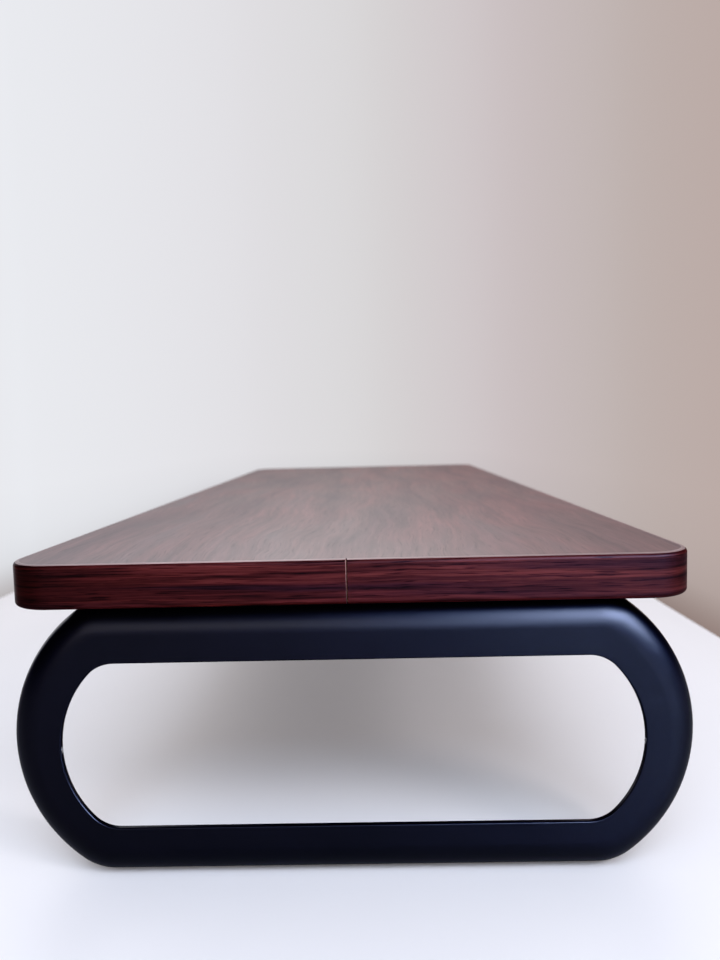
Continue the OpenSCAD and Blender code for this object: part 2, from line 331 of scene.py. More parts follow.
def top_material():
    """Satin laminate: most of what shows is the milky sheen, which the print's grain breaks up and a painted
    reflection tint warms towards +Y.
    Seen at a low angle, it turns matt."""
    n = new_material("woodgrain_top")
    at = n.point()
    wave = n.noise(n.stretched(at, (6, 10, 1)), 1.0, 2.0)
    ripple = n.noise(n.stretched(at, (30, 45, 1)), 1.0, 2.0)
    at = n.moved(at, Y=n.math("MULTIPLY_ADD", ripple, 6 * MM, n.math("MULTIPLY", wave, 30 * MM)))
    colour, figure, streak, pore = wood_print(n, at, ((6, 45, 1), (18, 380, 1), (60, 1300, 1)), 0.42)
    patch = n.noise(n.stretched(at, (11, 32, 1)), 1.0, 2.0, 0.5, 0.4)
    colour = n.times(colour, n.ramp(patch, [(0.40, (0.82, 1.06, 1.04)), (0.60, (1.10, 0.98, 0.98))]))
    rough = n.math("MULTIPLY_ADD", figure, -0.08, 0.56)
    haze = n.math("MULTIPLY_ADD", streak, 0.55, n.math("MULTIPLY_ADD", figure, 0.45, 0.42))
    fine = n.ramp(pore, [(0.32, grey(0.72)), (0.40, grey(1.0)), (0.62, grey(1.0)), (0.70, grey(1.25))])
    haze = n.math("MULTIPLY", haze, n.math("MULTIPLY", fine, 1.5))
    # painted reflection tint, warmer towards +Y
    sheen = n.ramp(n.across(at), PAINTED_SHEEN_TINTS)
    bump = n.bump(pore, 0.2, 0.06 * MM, n.bump(streak, 0.2, 0.1 * MM))
    satin = n.surface(Base_Color=colour, Roughness=rough, Normal=bump, Specular_IOR_Level=haze,
                      Specular_Tint=sheen)
    matt = n.add("ShaderNodeBsdfDiffuse", {"Color": colour, "Normal": bump})
    facing = n.add("ShaderNodeLayerWeight", {"Blend": 0.5}).outputs["Facing"]
    n.show(n.blend(n.ramp(facing, [(0.82, grey(0.0)), (0.95, grey(0.46))]), satin, matt))
    return n.owner


def band_material():
    """The same print on the edge band, its grain running round the board, dark along its heart, with painted
    shade that darkens it towards the board's -Y side.
    """
    n = new_material("woodgrain_band")
    at = n.point()
    wave = n.noise(n.stretched(at, (9, 9, 20)), 1.0, 3.0)
    at = n.moved(at, Z=n.math("MULTIPLY", wave, 5 * MM))
    heart_z, heart_t = BOARD_Z + BOARD_T / 2 + 1.4 * MM, 2.6 * MM
    off = n.math("ABSOLUTE", n.math("SUBTRACT", n.part(at, "Z"), heart_z))
    heart = n.math("MAXIMUM", n.math("SUBTRACT", 1.0, n.math("MULTIPLY", off, 1 / heart_t)), 0.0)
    sizes = ((3, 3, 190), (20, 20, 1000), (90, 90, 2600))
    colour, _, streak, pore = wood_print(n, at, sizes, 0.85, heart)
    # painted light and shade: the band is darker towards -Y and lighter towards +Y, as the light falls on it
    colour = n.times(n.times(colour, BAND_TINT), n.painted_shade_across(BAND_PAINTED_SHADE))
    rough = n.math("MULTIPLY_ADD", streak, -0.12, 0.50)
    bump = n.bump(pore, 0.25, 0.05 * MM, n.bump(streak, 0.25, 0.1 * MM))
    n.surface(Base_Color=colour, Roughness=rough, Normal=bump, Specular_IOR_Level=0.14)
    return n.owner


def cut_edge_material():
    """The pale stuff inside the band, darker towards the bottom."""
    n = new_material("band_cut_edge")
    at = n.point()
    spots = n.noise(at, 1500.0, 3.0)
    height = n.math("MULTIPLY_ADD", n.part(at, "Z"), 1 / BOARD_T, -BOARD_Z / BOARD_T)
    speckled = n.math("MULTIPLY_ADD", spots, 0.4, height)
    # darker towards the bottom
    lower_darkening = n.ramp(speckled, [(0.25, grey(0.13)), (0.6, grey(0.36)), (1.0, grey(0.80))])
    pale = n.ramp(spots, [(0.35, (0.26, 0.14, 0.125)), (0.65, (0.36, 0.21, 0.19))])
    n.surface(Base_Color=n.times(pale, lower_darkening), Roughness=0.6, Normal=n.bump(spots, 0.4, 0.05 * MM),
              Specular_IOR_Level=0.1)
    return n.owner


def band_highlight_material():
    """The band's top edge as a painted highlight: paler than the print, dimmed across the board by painted
    shade, with fine marks along it.
    """
    n = new_material("band_top_highlight")
    at = n.point()
    marks = n.noise(n.stretched(at, (60, 60, 2500)), 1.0, 4.0, 0.7)
    colour = n.ramp(marks, [(0.35, (0.24, 0.155, 0.15)), (0.65, (0.33, 0.22, 0.215))])
    # painted shade: the highlight dims across the board as the light on it does
    colour = n.times(colour, n.painted_shade_across(HIGHLIGHT_SHADE))
    n.surface(Base_Color=colour, Roughness=0.45, Normal=n.bump(marks, 0.3, 0.05 * MM),
              Specular_IOR_Level=0.5)
    return n.owner


def leg_material():
    """Black moulded plastic with a fine grain, a slight cloudiness and faint scuffs."""
    n = new_material("black_moulded_plastic")
    at = n.point()
    grain = n.noise(at, 4200.0, 2.0, 0.6)
    cloud = n.noise(at, 26.0, 3.0)
    scuff = n.noise(n.stretched(at, (900, 260, 260)), 1.0, 5.0, 0.7)
    colour = n.ramp(cloud, [(0.3, (0.0024, 0.0022, 0.0056)), (0.7, (0.0032, 0.0029, 0.0070))])
    rough = n.math("MULTIPLY_ADD", scuff, 0.05, n.math("MULTIPLY_ADD", cloud, 0.06, 0.29))
    n.surface(Base_Color=colour, Roughness=rough, Normal=n.bump(grain, 0.25, 0.02 * MM),
              Specular_IOR_Level=0.4)
    return n.owner


def scar_material():
    """Torn plastic where a runner was cut off, paler than the rest."""
    n = new_material("gate_scar")
    at = n.point()
    torn = n.noise(at, 2500.0, 3.0, 0.7)
    colour = n.ramp(torn, [(0.35, grey(0.03)), (0.6, grey(0.30))])
    n.surface(Base_Color=colour, Roughness=0.6, Normal=n.bump(torn, 0.6, 0.1 * MM))
    return n.owner


def rubber_material():
    """Dark rubber with dust on it."""
    n = new_material("foot_rubber")
    at = n.point()
    grain = n.noise(at, 3000.0, 3.0)
    dust = n.noise(at, 300.0, 4.0, 0.7)
    colour = n.ramp(dust, [(0.4, (0.016, 0.016, 0.017)), (0.75, (0.05, 0.049, 0.046))])
    n.surface(Base_Color=colour, Roughness=0.8, Normal=n.bump(grain, 0.5, 0.05 * MM))
    return n.owner


def steel_material():
    """Black zinc plating, unevenly dull."""
    n = new_material("black_zinc_screw")
    at = n.point()
    spots = n.noise(at, 900.0, 3.0)
    colour = n.ramp(spots, [(0.3, (0.05, 0.05, 0.055)), (0.7, (0.11, 0.11, 0.12))])
    n.surface(Base_Color=colour, Metallic=0.9, Roughness=n.math("MULTIPLY_ADD", spots, 0.25, 0.22))
    return n.owner


def brass_material():
    """Machined brass, slightly tarnished in spots."""
    n = new_material("insert_brass")
    at = n.point()
    spots = n.noise(at, 1200.0, 3.0)
    colour = n.ramp(spots, [(0.3, (0.55, 0.38, 0.14)), (0.7, (0.70, 0.50, 0.22))])
    n.surface(Base_Color=colour, Metallic=1.0, Roughness=n.math("MULTIPLY_ADD", spots, 0.2, 0.25))
    return n.owner


def fibreboard_material():
    """Pressed wood chips, flatter than they are long."""
    n = new_material("fibreboard_core")
    at = n.point()
    chips = n.noise(n.stretched(at, (500, 500, 1400)), 1.0, 5.0, 0.65)
    colour = n.ramp(chips, [(0.3, (0.19, 0.12, 0.06)), (0.7, (0.42, 0.29, 0.16))])
    n.surface(Base_Color=colour, Roughness=0.85, Normal=n.bump(chips, 0.5, 0.2 * MM))
    return n.owner


def backing_material():
    """Plain dark laminate with faint streaks along the board."""
    n = new_material("backing_laminate")
    at = n.point()
    streak = n.noise(n.stretched(at, (12, 300, 1)), 1.0, 4.0, 0.6)
    fine = n.noise(at, 1500.0, 2.0)
    colour = n.ramp(streak, [(0.3, (0.030, 0.015, 0.014)), (0.7, (0.055, 0.026, 0.024))])
    n.surface(Base_Color=colour, Roughness=0.55, Normal=n.bump(fine, 0.3, 0.05 * MM))
    return n.owner


# ---- Board -----------------------------------------------------------------------------------

def band_section():
    """(distance in, height, normal in, normal up) round the strip, from the bottom of its outer face."""
    r, t, h = BAND_ROUND, BAND_T, BOARD_T
    pts = [(r - r * math.sin(a), r - r * math.cos(a), -math.sin(a), -math.cos(a)) for a in arc_steps(8)]
    pts += [(0, r + (h - 2 * r) * k / 5, -1, 0) for k in range(1, 5)]
    pts += [(r - r * math.cos(a), h - r + r * math.sin(a), -math.cos(a), math.sin(a)) for a in arc_steps(8)]
    return pts + [(t, h, 0, 1), (t, h - SHARP, 1, 0), (t, SHARP, 1, 0), (t, 0, 0, -1)]


PRINTED, CUT, TOP_HIGHLIGHT = 0, 1, 2          # the band's materials; the last is the painted highlight on its top edge


class Strip:
    """The band's mesh: its section, set down ring by ring along the board's outline."""

    def __init__(self, section):
        self.section = section
        self.verts, self.normals, self.faces, self.paints = [], [], [], []

    def ring(self, at, out, inset=0.0, lean=0.0):
        """One section. inset draws its outer faces in, and lean turns its normals towards +Y."""
        start = len(self.verts)
        for depth, height, n_in, n_up in self.section:
            p = at - out * (depth + inset * max(0.0, -n_in))
            drawn_in = inset * n_up if depth < BAND_T else 0.0
            self.verts.append((p.x, p.y, BOARD_Z + height - drawn_in))
            self.normals.append((-out.x * n_in, -out.y * n_in + lean, n_up))
        return start

    def join(self, a, b, paint):
        """The skin between two rings. paint gives the material of each of its faces."""
        count = len(self.section)
        for j in range(count):
            k = (j + 1) % count
            self.faces.append((a + j, b + j, b + k, a + k))
            self.paints.append(paint(j))

    def cap(self, ring, facing, paint):
        """A flat end on a ring that faces +Y, with facing 1, or -Y, with facing -1."""
        start, count = len(self.verts), len(self.section)
        self.verts.extend(self.verts[ring:ring + count])
        self.normals.extend([(0, facing, 0)] * count)
        self.faces.append(tuple(range(start, start + count)[::-facing]))
        self.paints.append(paint)


def edge_band(materials):
    """One strip right round the board. Its top edge is painted pale as a highlight, and its last end is
    eased.
    """
    section = band_section()
    strip = Strip(section)

    def side_paint(j):
        up = min(section[j][3], section[(j + 1) % len(section)][3])
        # the faces that face up get the painted highlight
        return TOP_HIGHLIGHT if up > HIGHLIGHT_UP else PRINTED

    path = board_outline()
    end, out = path.pop()
    eased_from = end - Vector((0, BAND_EASE))
    rings = [strip.ring(*step) for step in path + [(eased_from, out)]]
    for a, b in zip(rings, rings[1:]):
        strip.join(a, b, side_paint)
    near = strip.ring(eased_from, out, lean=0.6)
    last = strip.ring(end, out, BAND_EASE / 3, lean=0.6)
    strip.join(near, last, lambda j: CUT)
    strip.cap(rings[0], -1, PRINTED)
    strip.cap(last, 1, CUT)
    return new_object("edge_band_strip", strip.verts, strip.faces, strip.normals, materials, strip.paints)


# ---- Legs ------------------------------------------------------------------------------------

def turn(outline, inset, depth, r, start, end, steps, hollow=False):
    """Rings round an arc of the section, whose centre is so far in from the outline and so deep."""
    way = -1 if hollow else 1
    waves = [(math.cos(a), math.sin(a)) for a in arc_steps(steps, start, end)]
    return [(outline, inset - r * c, depth + r * s, way * c, way * s) for c, s in waves]


def leg_rings():
    """The leg's closed section as (outline, distance in, depth, normal out, normal along +X) rings,
    from its back edge up the outside, over the face, round the lip and back along the inside."""
    outer = barrel_outline(2 * LEG_HALF_W, LEG_LO.z, LEG_HI.z, SIDE_R, SIDE_BLEND_R)
    inner = barrel_outline(**OPENING)
    q, edge, side_end = math.pi / 2, BACK_EDGE_R, LEG_DEPTH - FACE_R
    rim = RIM_R - (RIM_R - CROWN_R) * math.cos(RIM_ANGLE)
    rings = turn(outer, edge, edge, edge, -q, 0, 3)
    rings += [(outer, 0, edge + (side_end - edge) * k / 4, 1, 0) for k in range(1, 4)]
    rings += turn(outer, RIM_R, side_end, RIM_R, 0, RIM_ANGLE, 14)
    rings += turn(outer, rim, LEG_DEPTH - CROWN_R, CROWN_R, RIM_ANGLE, q, 10)[1:]
    rings += turn(inner, -LIP_R, LEG_DEPTH - LIP_R, LIP_R, q, 2 * q, 5)
    rings += turn(inner, -LIP_BACK_R, LEG_DEPTH - LIP + LIP_BACK_R, LIP_BACK_R, 2 * q, 3 * q, 3)
    rings += turn(outer, FACE_R, side_end, FACE_R - WALL, q, 0, 10, hollow=True)
    return rings + turn(outer, BACK_WALL - edge, edge, edge, 2 * q, 3 * q, 3)


def leg_shell():
    """(corners, faces, normals) of the leg's skin, without its ribs and bosses."""
    rings = leg_rings()
    count = len(rings[0][0])
    verts, normals, faces = [], [], []
    for outline, inset, depth, n_out, n_x in rings:
        for p, n in outline:
            q = p - n * inset
            verts.append((LEG_LO.x + depth, q.x, q.y))
            normals.append((n_x, n.x * n_out, n.y * n_out))
    for i in range(len(rings)):
        k = (i + 1) % len(rings)
        for j in range(count):
            m = (j + 1) % count
            faces.append((i * count + j, i * count + m, k * count + m, k * count + j))
    return verts, faces, normals


def bar_width(centre, side, out):
    """The width of the leg's bar along a ray from the middle of its side's bow."""
    opening = Vector((side * (OPENING["w"] / 2 - OPENING["bow_r"]), OPENING_MID))
    offset = opening - centre
    across = offset.x * out.y - offset.y * out.x
    return SIDE_R - offset.dot(out) - math.sqrt(OPENING["bow_r"] ** 2 - across ** 2)


def rib_places():
    """(point on the outline, inward direction, width of the bar) for each rib."""
    flat = LEG_HALF_W - SIDE_R + BOW_COS * (SIDE_R - SIDE_BLEND_R)
    count = int(flat / RIB_PITCH)
    mid_z = (LEG_LO.z + LEG_HI.z) / 2
    places = [(Vector((i * RIB_PITCH, LEG_LO.z)), Vector((0, 1)), OPENING["z0"] - LEG_LO.z)
              for i in range(-count, count + 1)]
    places += [(Vector((k * SCREW_PITCH, LEG_HI.z)), Vector((0, -1)), LEG_HI.z - OPENING["z1"])
               for k in TOP_RIBS]
    for side in (1, -1):
        centre = Vector((side * (LEG_HALF_W - SIDE_R), mid_z))
        for i in range(-2, 3):
            out = along(i * RIB_ANGLE) * side
            places.append((centre + out * SIDE_R, -out, bar_width(centre, side, out)))
    return places


def inner_corner():
    """The rib's edge that follows the inside of the rounding."""
    r = FACE_R - WALL + JOINT
    return [(FACE_R - r * math.cos(a), LEG_DEPTH - FACE_R + r * math.sin(a))
            for a in arc_steps(8, math.pi / 2, 0)]


def rib_outline(bar):
    """(distance in, depth) round a rib that slopes down to a low tip by the opening."""
    start, tip = WALL - JOINT, bar - RIB_SHORT
    return [(BACK_WALL - JOINT, RIB_BACK), (BACK_WALL + 0.3 * MM, RIB_BACK),
            (tip, LEG_DEPTH - WALL - 1 * MM), (tip, LEG_DEPTH - start)] + inner_corner()


def web_outline():
    """(distance in, depth) round the web that ties a screw boss to the face."""
    start, end = WALL - JOINT, BOSS_H - 1 * MM
    return [(BACK_WALL, BOSS_DEPTH), (end, BOSS_DEPTH), (end, LEG_DEPTH - start)] + inner_corner()


def plate(bm, outline, at, inward, thickness):
    """A flat plate standing on the outline, its free edges eased."""
    side = Vector((-inward.y, inward.x)) * thickness / 2
    loops = []
    for sign in (-1, 1):
        loop = []
        for inset, depth in outline:
            q = at + inward * inset + side * sign
            loop.append(bm.verts.new((LEG_LO.x + depth, q.x, q.y)))
        loops.append(loop)
    count = len(outline)
    bm.faces.new(loops[0])
    bm.faces.new(loops[1][::-1])
    for i in range(count):
        k = (i + 1) % count
        bm.faces.new((loops[0][k], loops[0][i], loops[1][i], loops[1][k]))
    free = [bm.edges.get((loop[i], loop[i + 1])) for loop in loops for i in (0, 1)]
    bmesh.ops.bevel(bm, geom=free, offset=0.25 * MM, segments=2, affect="EDGES", profile=0.5)


def lathe(bm, profile, centre, axis_x=False, steps=40):
    """A solid of revolution from (radius, height) points that start and end on the axis."""
    rings = []
    for r, h in profile:
        ring = []
        for i in range(steps if r > 0 else 1):
            a = 2 * math.pi * i / steps
            x, y = r * math.cos(a), r * math.sin(a)
            ring.append(bm.verts.new(centre + (Vector((x, h, y)) if axis_x else Vector((x, y, h)))))
        rings.append(ring)
    for a, b in zip(rings, rings[1:]):
        for i in range(steps):
            k = (i + 1) % steps
            quad = [a[i % len(a)], a[k % len(a)], b[k % len(b)], b[i % len(b)]]
            bm.faces.new(list(dict.fromkeys(quad)))


def stadium(length, width, steps=16):
    """(point, normal) round a strip with round ends, long way along Y."""
    out = []
    for end, start in ((1, 0.0), (-1, math.pi)):
        for a in arc_steps(steps, start, start + math.pi):
            n = along(a)
            out.append((Vector((0, end * (length - width) / 2)) + n * width / 2, n))
    return out


def stadium_block(bm, centre, profile, length, width):
    """A closed block from (distance in, height) points, the first and last rings capped."""
    outline = stadium(length, width)
    rings = [[bm.verts.new((*(centre + (p - n * inset)), z)) for p, n in outline] for inset, z in profile]
    for a, b in zip(rings, rings[1:]):
        for i in range(len(outline)):
            k = (i + 1) % len(outline)
            bm.faces.new((a[i], a[k], b[k], b[i]))
    bm.faces.new(rings[0][::-1])
    bm.faces.new(rings[-1])


def screw_axes():
    return [Vector((LEG_LO.x + BOSS_DEPTH, k * SCREW_PITCH, 0)) for k in (-1, 0, 1)]


def gate_marks():
    """Where the two runners were cut off, on the inside of the lip."""
    return [Vector((LEG_HI.x - LIP / 2, end * OPENING["w"] / 2, OPENING_MID - 1 * MM)) for end in (1, -1)]


def solid(name, fill):
    """An object whose mesh the function fill makes."""
    bm = bmesh.new()
    fill(bm)
    bmesh.ops.recalc_face_normals(bm, faces=bm.faces)
    mesh = bpy.data.meshes.new(name)
    bm.to_mesh(mesh)
    bm.free()
    return link(name, mesh)


def ribs(bm):
    for at, inward, bar in rib_places():
        plate(bm, rib_outline(bar), at, inward, RIB_T)


def webs(bm):
    for axis in screw_axes():
        plate(bm, web_outline(), Vector((axis.y, LEG_HI.z)), Vector((0, -1)), RIB_T)


def boss(bm, axis):
    """A round pillar under the board, its lower rim eased and its top in the leg's wall."""
    z, top, ease = LEG_HI.z - BOSS_H, LEG_HI.z - BACK_WALL + 0.1 * MM, 0.5 * MM
    curve = [(BOSS_R - ease + ease * math.sin(a), z + ease - ease * math.cos(a)) for a in arc_steps(4)]
    lathe(bm, [(0, z)] + curve + [(BOSS_R + 0.15 * MM, top), (0, top)], axis)


def gate(bm, at):
    """The stub of a runner: most of it is in the lip, and its tip stands out into the opening."""
    end = math.copysign(1, at.y)
    profile = [(0, 1 * MM), (GATE_R, 1 * MM), (GATE_R, -0.12 * MM), (0.34 * MM, -0.3 * MM), (0, -0.3 * MM)]
    lathe(bm, [(r, h * end) for r, h in profile], at, axis_x=True, steps=12)


def bosses_and_gates(bm):
    for axis in screw_axes():
        boss(bm, axis)
    for at in gate_marks():
        gate(bm, at)


def cutters(bm):
    """The screw holes, with a lead-in, and the recesses of the foot pads."""
    z, r, ease = LEG_HI.z - BOSS_H, BOSS_HOLE_R, 0.35 * MM
    for axis in screw_axes():
        lathe(bm, [(0, z - ease), (r + 2 * ease, z - ease), (r, z + ease), (r, LEG_HI.z + ease),
                   (0, LEG_HI.z + ease)], axis)
    recess = [(0, LEG_LO.z - ease), (0, LEG_LO.z + PAD_RECESS)]
    for side in (-1, 1):
        centre = Vector((LEG_LO.x + PAD_DEPTH, side * PAD_OFFSET))
        stadium_block(bm, centre, recess, PAD_L + PAD_CLEAR, PAD_W + PAD_CLEAR)


def combine(obj, other, operation):
    """Adds the other object to this one or cuts it out, and deletes it."""
    mod = obj.modifiers.new("combine", "BOOLEAN")
    mod.operation, mod.object, mod.solver = operation, other, "EXACT"
    mesh = bpy.data.meshes.new_from_object(obj.evaluated_get(bpy.context.evaluated_depsgraph_get()))
    obj.modifiers.clear()
    obj.data = mesh
    bpy.data.objects.remove(other)


SAME_PLACE, SAME_WAY = 0.001 * MM, 0.8   # how near a corner and how alike a normal have to be


def keep_normals(mesh, verts, normals):
    """Gives the mesh the known normals where it still has the known vertices, flat ones elsewhere."""
    tree = KDTree(len(verts))
    for i, v in enumerate(verts):
        tree.insert(v, i)
    tree.balance()
    known = [Vector(n).normalized() for n in normals]
    loop_normals = [None] * len(mesh.loops)
    for poly in mesh.polygons:
        flat = poly.normal
        for li in poly.loop_indices:
            at = mesh.vertices[mesh.loops[li].vertex_index].co
            best = max((known[i] for _, i, _ in tree.find_range(at, SAME_PLACE)), key=flat.dot, default=flat)
            loop_normals[li] = best if best.dot(flat) > SAME_WAY else flat
    mesh.polygons.foreach_set("use_smooth", [True] * len(mesh.polygons))
    mesh.normals_split_custom_set(loop_normals)


def turned(vectors):
    """The same half a turn round the vertical axis, for the other end."""
    return [(-v[0], -v[1], v[2]) for v in vectors]


def build_leg(name, plastic, scar):
    verts, faces, normals = leg_shell()
    leg = new_object(name, verts, faces)
    for fill in (ribs, webs, bosses_and_gates):
        combine(leg, solid("addition", fill), "UNION")
    combine(leg, solid("cutters", cutters), "DIFFERENCE")
    keep_normals(leg.data, verts, normals)
    leg.data.materials.clear()
    leg.data.materials.append(plastic)
    leg.data.materials.append(scar)
    for poly in leg.data.polygons:
        off = min((poly.center - at).length for at in gate_marks())
        poly.material_index = 1 if off < GATE_R + 0.1 * MM else 0
    return leg


def build_legs(plastic, scar):
    """The right leg, and the same moulding turned round for the left end."""
    right = build_leg("right_leg_moulding", plastic, scar)
    mesh = right.data.copy()
    corners = [tuple(c.vector) for c in mesh.corner_normals]
    mesh.transform(Matrix.Rotation(math.pi, 4, "Z"))
    mesh.normals_split_custom_set(turned(corners))
    return {"right": right, "left": link("left_leg_moulding", mesh)}


def pad_profile():
    """(distance in, height) up a foot pad, from its slightly dished underside."""
    ease = 0.35 * MM
    dish = [(2.2 * MM, 0.25 * MM), (1.6 * MM, 0.05 * MM), (1.2 * MM, 0.0)]
    rim = [(ease - ease * math.sin(a), ease - ease * math.cos(a)) for a in arc_steps(5)]
    return dish + rim + [(0, PAD_T - ease), (0.1 * MM, PAD_T)]


def foot_pad(name, centre, rubber):
    pad = solid(name, lambda bm: stadium_block(bm, centre, pad_profile(), PAD_L, PAD_W))
    pad.data.polygons.foreach_set("use_smooth", [len(face.vertices) == 4 for face in pad.data.polygons])
    pad.data.materials.append(rubber)
    return pad


def foot_pads(rubber):
    """(pad, its CAD node) for the two pads under each leg."""
    for end, way in (("right", 1), ("left", -1)):
        for side, y in (("front", -PAD_OFFSET), ("back", PAD_OFFSET)):
            centre = Vector((way * (LEG_LO.x + PAD_DEPTH), y))
            pad = foot_pad(end + "_" + side + "_rubber_foot", centre, rubber)
            yield pad, end + "_" + side + "_foot_pad"


# ---- Stage -----------------------------------------------------------------------------------

FLOOR_HALF = 6.0
FLOOR_GLOW = 0.055                       # softens the shadow under the board
FLOOR_MIRRORED = 0.29                    # the floor's brightness in reflections

WALL_RIGHT, WALL_LEFT = 0.252, -0.349    # the wall's two sides, close beside the stand
WALL_FAR, WALL_NEAR, WALL_H = -1.0, 1.1, 1.7
WALL_OPEN = 0.1                          # nearer than this, only the camera sees it
WALL_MIRRORED = 1.38                     # its brightness in reflections, where it looks 1.0
# A pale wall with painted light: bright and cool on the -Y side, dimmer and warmer towards +Y
WALL_GLOW_FALLOFF = [(0.05, (0.81, 0.82, 0.86)), (0.33, (0.75, 0.74, 0.77)), (0.50, (0.68, 0.66, 0.67)),
                (0.66, (0.60, 0.54, 0.55)), (0.82, (0.52, 0.45, 0.435)), (0.97, (0.49, 0.40, 0.375))]
# Painted shade along the wall's foot, where it meets the desk
WALL_FOOT_SHADE = [(0.0, (0.59, 0.55, 0.535)), (0.12, (0.88, 0.88, 0.88)), (0.4, (1.0, 1.0, 1.0))]
WALL_FOOT_H = 0.25

# The room's light: everywhere, how much more low down, and as the camera sees it
ROOM_ALL, ROOM_LOW, ROOM_SEEN = 0.44, 1.75, 0.80
ROOM_COLOUR = (1.0, 0.94, 0.94)

CAMERA_AT = Vector((0.5038185, 0.0090053, 0.1544326))
CAMERA_YAW, CAMERA_PITCH, CAMERA_ROLL = 0.0172, 0.0732, -0.0241
CAMERA_LENS, CAMERA_SENSOR, CAMERA_FSTOP = 26.85, 36.0, 14.0


def backdrop_material():
    """Glows like the lit wall of a room. Its colour, a pale wall's with painted light that dims and warms
    towards +Y, runs from side to side of the camera's view.
    It is open from behind, and its near part is open to all but the camera."""
    n = new_material("backdrop")
    geometry = n.add("ShaderNodeNewGeometry").outputs
    at = geometry["Position"]
    off_side = n.math("SUBTRACT", n.part(at, "Y"), CAMERA_AT.y)
    slope = n.math("DIVIDE", off_side, n.math("SUBTRACT", CAMERA_AT.x, n.part(at, "X")))
    grain = n.math("MULTIPLY_ADD", n.noise(at, 700.0, 1.0), 0.03, 0.485)
    colour = n.ramp(n.math("MULTIPLY_ADD", slope, 0.95, grain), WALL_GLOW_FALLOFF, smooth=True)
    up = n.math("MULTIPLY", n.part(at, "Z"), 1 / WALL_FOOT_H)
    # painted shade at the foot of the wall
    colour = n.times(colour, n.ramp(up, WALL_FOOT_SHADE, smooth=True))
    seen = n.add("ShaderNodeLightPath").outputs["Is Camera Ray"]
    strength = n.math("MULTIPLY_ADD", seen, 1.0 - WALL_MIRRORED, WALL_MIRRORED)
    near = n.math("GREATER_THAN", n.part(at, "X"), WALL_OPEN)
    near = n.math("MULTIPLY", near, n.math("SUBTRACT", 1.0, seen))
    glow = n.add("ShaderNodeEmission", {"Color": colour, "Strength": strength})
    clear = n.add("ShaderNodeBsdfTransparent")
    n.show(n.blend(n.math("MAXIMUM", near, geometry["Backfacing"]), glow, clear))
    return n.owner


def backdrop():
    """Two straight walls beside the stand, joined by a round one far behind it."""
    mid_y, r = (WALL_RIGHT + WALL_LEFT) / 2, (WALL_RIGHT - WALL_LEFT) / 2
    line = [(WALL_NEAR, WALL_RIGHT), (WALL_FAR, WALL_RIGHT)]
    line += [(WALL_FAR - r * math.sin(a), mid_y + r * math.cos(a)) for a in arc_steps(32, 0, math.pi)[1:-1]]
    line += [(WALL_FAR, WALL_LEFT), (WALL_NEAR, WALL_LEFT)]
    verts = [(x, y, z) for z in (-2 * MM, WALL_H) for x, y in line]
    count = len(line)
    faces = [(i, count + i, count + i + 1, i + 1) for i in range(count - 1)]
    obj = new_object("backdrop", verts, faces, mats=(backdrop_material(),))
    obj.visible_shadow = False
    obj.visible_diffuse = False


def floor_material():
    """A pale matt desk, darker in reflections and open from below."""
    n = new_material("floor")
    at = n.point()
    colour = n.ramp(n.noise(at, 9.0, 3.0), [(0.3, (0.79, 0.79, 0.82)), (0.7, (0.81, 0.81, 0.84))])
    rays = n.add("ShaderNodeLightPath").outputs
    colour = n.mix(rays["Is Glossy Ray"], colour, grey(FLOOR_MIRRORED))
    glow = n.math("MULTIPLY", rays["Is Camera Ray"], FLOOR_GLOW)
    grain = n.bump(n.noise(at, 2500.0, 2.0), 0.05, 0.02 * MM)
    top = n.surface(Base_Color=colour, Roughness=0.55, Normal=grain, Emission_Strength=glow,
                    Emission_Color=(1.0, 0.97, 0.97, 1.0))
    below = n.add("ShaderNodeNewGeometry").outputs["Backfacing"]
    n.show(n.blend(below, top, n.add("ShaderNodeBsdfTransparent")))
    return n.owner


def floor():
    corners = [(x * FLOOR_HALF, y * FLOOR_HALF, 0) for x, y in ((-1, -1), (1, -1), (1, 1), (-1, 1))]
    new_object("floor", corners, [(0, 1, 2, 3)], mats=(floor_material(),))


def area_light(name, at, target, size, power, colour):
    data = bpy.data.lights.new(name, "AREA")
    data.shape = "RECTANGLE"
    data.size, data.size_y = size
    data.energy = power
    data.color = colour
    obj = link(name, data)
    obj.location = at
    obj.rotation_euler = (Vector(at) - Vector(target)).to_track_quat("Z", "Y").to_euler()
    return obj


def around(azimuth, elevation):
    """A point LIGHT_AWAY from the stand: azimuth from +X towards +Y, in degrees."""
    a, e = math.radians(azimuth), math.radians(elevation)
    return Vector((math.cos(a) * math.cos(e), math.sin(a) * math.cos(e), math.sin(e))) * LIGHT_AWAY


# Each light's place, what it points at, its size, power and colour
LIGHT_AWAY = 1.3
OVERHEAD = ((0, -0.25, 1.6), (0, 0, 0), (1.6, 1.2), 0.7, (1.0, 0.91, 0.87))
FILLS = {
    "window": (around(42, 32), (0.1, 0, 0.05), (0.25, 0.2), 3.0, (1.0, 0.93, 0.93)),
    "front": ((0.85, 0.06, 0.75), (0.25, 0, 0), (0.8, 0.5), 7.0, (0.70, 0.82, 1.0))}
CARDS = {
    "window_glare": (around(34, 23), (0.27, 0.05, 0.09), (0.85, 0.42), 32.0, (0.48, 0.60, 1.0)),
    "glare_tail": (around(13, 9), (0.27, 0.03, 0.09), (0.4, 0.25), 2.2, (0.50, 0.62, 1.0)),
    "front_glare": (around(-18, 14), (0.27, -0.05, 0.09), (1.0, 0.45), 2.0, (1.0, 0.97, 1.0)),
    "ceiling_sheen": ((-1.1, 0, 1.1), (0.2, 0, 0.1), (2.0, 0.8), 20.0, (1.0, 0.95, 0.95))}


def lights():
    """Fills stay out of the reflections, and cards show only there."""
    for name, light in FILLS.items():
        area_light(name, *light).visible_glossy = False
    area_light("overhead", *OVERHEAD)
    for name, light in CARDS.items():
        area_light(name, *light).visible_diffuse = False


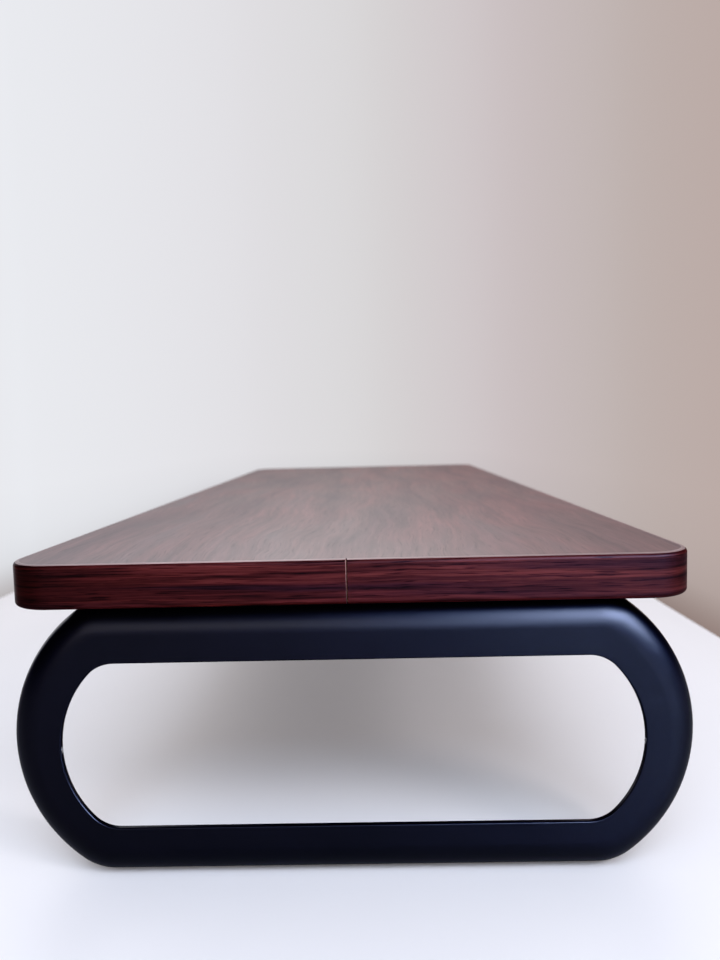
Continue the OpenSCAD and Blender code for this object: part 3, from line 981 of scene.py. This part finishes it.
def room_light():
    """The rest of the room: brightest low down, and out of the reflections."""
    world = bpy.data.worlds.new("room")
    bpy.context.scene.world = world
    world.cycles_visibility.glossy = False
    n = Nodes(world, "ShaderNodeOutputWorld")
    up = n.part(n.add("ShaderNodeTexCoord").outputs["Generated"], "Z")
    low = n.math("POWER", n.math("SUBTRACT", 1.0, n.math("ABSOLUTE", up)), 3.0)
    strength = n.math("MULTIPLY_ADD", low, ROOM_LOW, ROOM_ALL)
    seen = n.add("ShaderNodeLightPath").outputs["Is Camera Ray"]
    strength = n.math("MULTIPLY_ADD", n.math("SUBTRACT", ROOM_SEEN, strength), seen, strength)
    n.show(n.add("ShaderNodeBackground", {"Color": (*ROOM_COLOUR, 1.0), "Strength": strength}))


def camera_axes():
    """The camera's right, up and backward directions."""
    yaw, pitch, roll = CAMERA_YAW, CAMERA_PITCH, CAMERA_ROLL
    ahead = Vector((-math.cos(yaw) * math.cos(pitch), -math.sin(yaw) * math.cos(pitch), -math.sin(pitch)))
    side = ahead.cross(Vector((0, 0, 1))).normalized()
    up = side.cross(ahead)
    right = math.cos(roll) * side + math.sin(roll) * up
    return right, math.cos(roll) * up - math.sin(roll) * side, -ahead


def camera():
    data = bpy.data.cameras.new("camera")
    data.lens, data.sensor_width, data.clip_start = CAMERA_LENS, CAMERA_SENSOR, 0.01
    obj = link("camera", data)
    obj.matrix_world = Matrix(camera_axes()).transposed().to_4x4()
    obj.location = CAMERA_AT
    bpy.context.scene.camera = obj
    focus = link("focus", None)
    focus.location = (HALF_L, 0, BOARD_Z + BOARD_T / 2)
    data.dof.use_dof = True
    data.dof.focus_object = focus
    data.dof.aperture_fstop = CAMERA_FSTOP


def picture_tones():
    """Plain colours with the deep blacks of a small camera."""
    view = bpy.context.scene.view_settings
    view.view_transform = "Standard"
    view.use_curve_mapping = True
    all_channels = view.curve_mapping.curves[3]
    for before, after in ((0.018, 0.004), (0.045, 0.026), (0.10, 0.088), (0.22, 0.22)):
        all_channels.points.new(before, after)
    view.curve_mapping.update()


# ---- The scene -------------------------------------------------------------------------------

def repaint(node, material):
    """Gives a CAD node a better material."""
    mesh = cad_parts[node].data
    mesh.materials.clear()
    mesh.materials.append(material)


def stand_in(piece, node):
    """Shows the piece in place of a CAD node."""
    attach(piece, "root")
    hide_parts(node)


repaint("board_core", fibreboard_material())
repaint("top_laminate", top_material())
repaint("bottom_laminate", backing_material())
steel, brass = steel_material(), brass_material()
for end in ("right", "left"):
    repaint(end + "_leg_screws", steel)
    repaint(end + "_threaded_inserts", brass)

for pad, node in foot_pads(rubber_material()):
    stand_in(pad, node)
band = edge_band((band_material(), cut_edge_material(), band_highlight_material()))
stand_in(band, "edge_band")
for end, leg in build_legs(leg_material(), scar_material()).items():
    stand_in(leg, end + "_leg")

backdrop()
floor()
lights()
room_light()
camera()
picture_tones()
